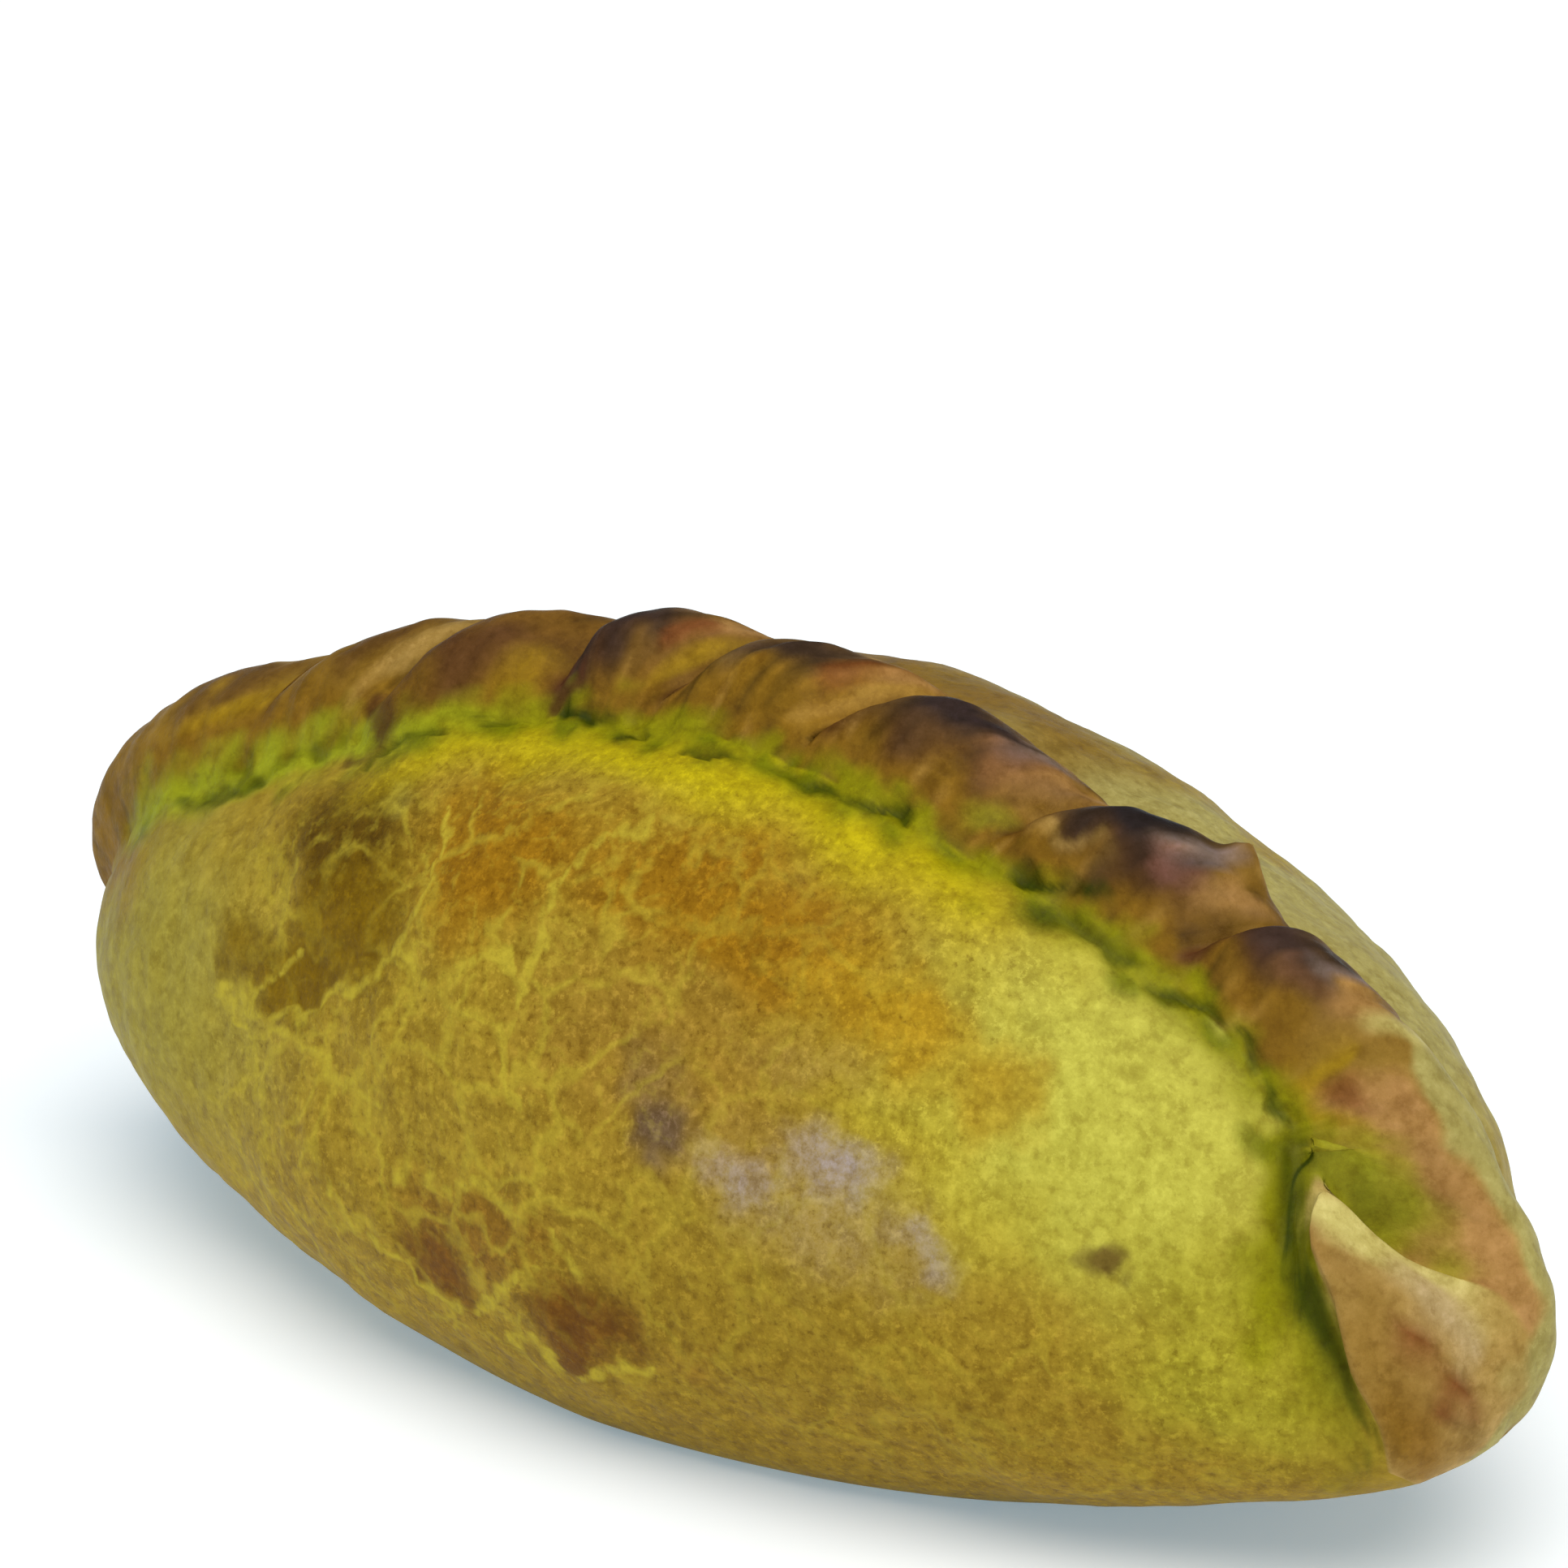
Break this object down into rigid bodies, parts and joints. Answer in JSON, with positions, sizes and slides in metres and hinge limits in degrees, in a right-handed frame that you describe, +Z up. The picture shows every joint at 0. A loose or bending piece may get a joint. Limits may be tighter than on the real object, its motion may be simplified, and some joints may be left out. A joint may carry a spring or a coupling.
{
  "type": "baked filled pastry",
  "caption": "Baked pastry pouch with a full belly and a rope of slanting dough folds along its top seam, lying on a flat spot under the belly.",
  "frame": {"origin": "on the resting plane, under the middle of the pastry's box", "axes": "+Z up, +X along the length towards the curled end of the rope, -Y towards the shown side of the belly"},
  "size_m": [0.1284, 0.0634, 0.0537],
  "materials": {
    "crust": "glazed golden crust, browned on the folds"
  },
  "bodies": {
    "root": {"pastry": "crust"}
  },
  "joints": []
}
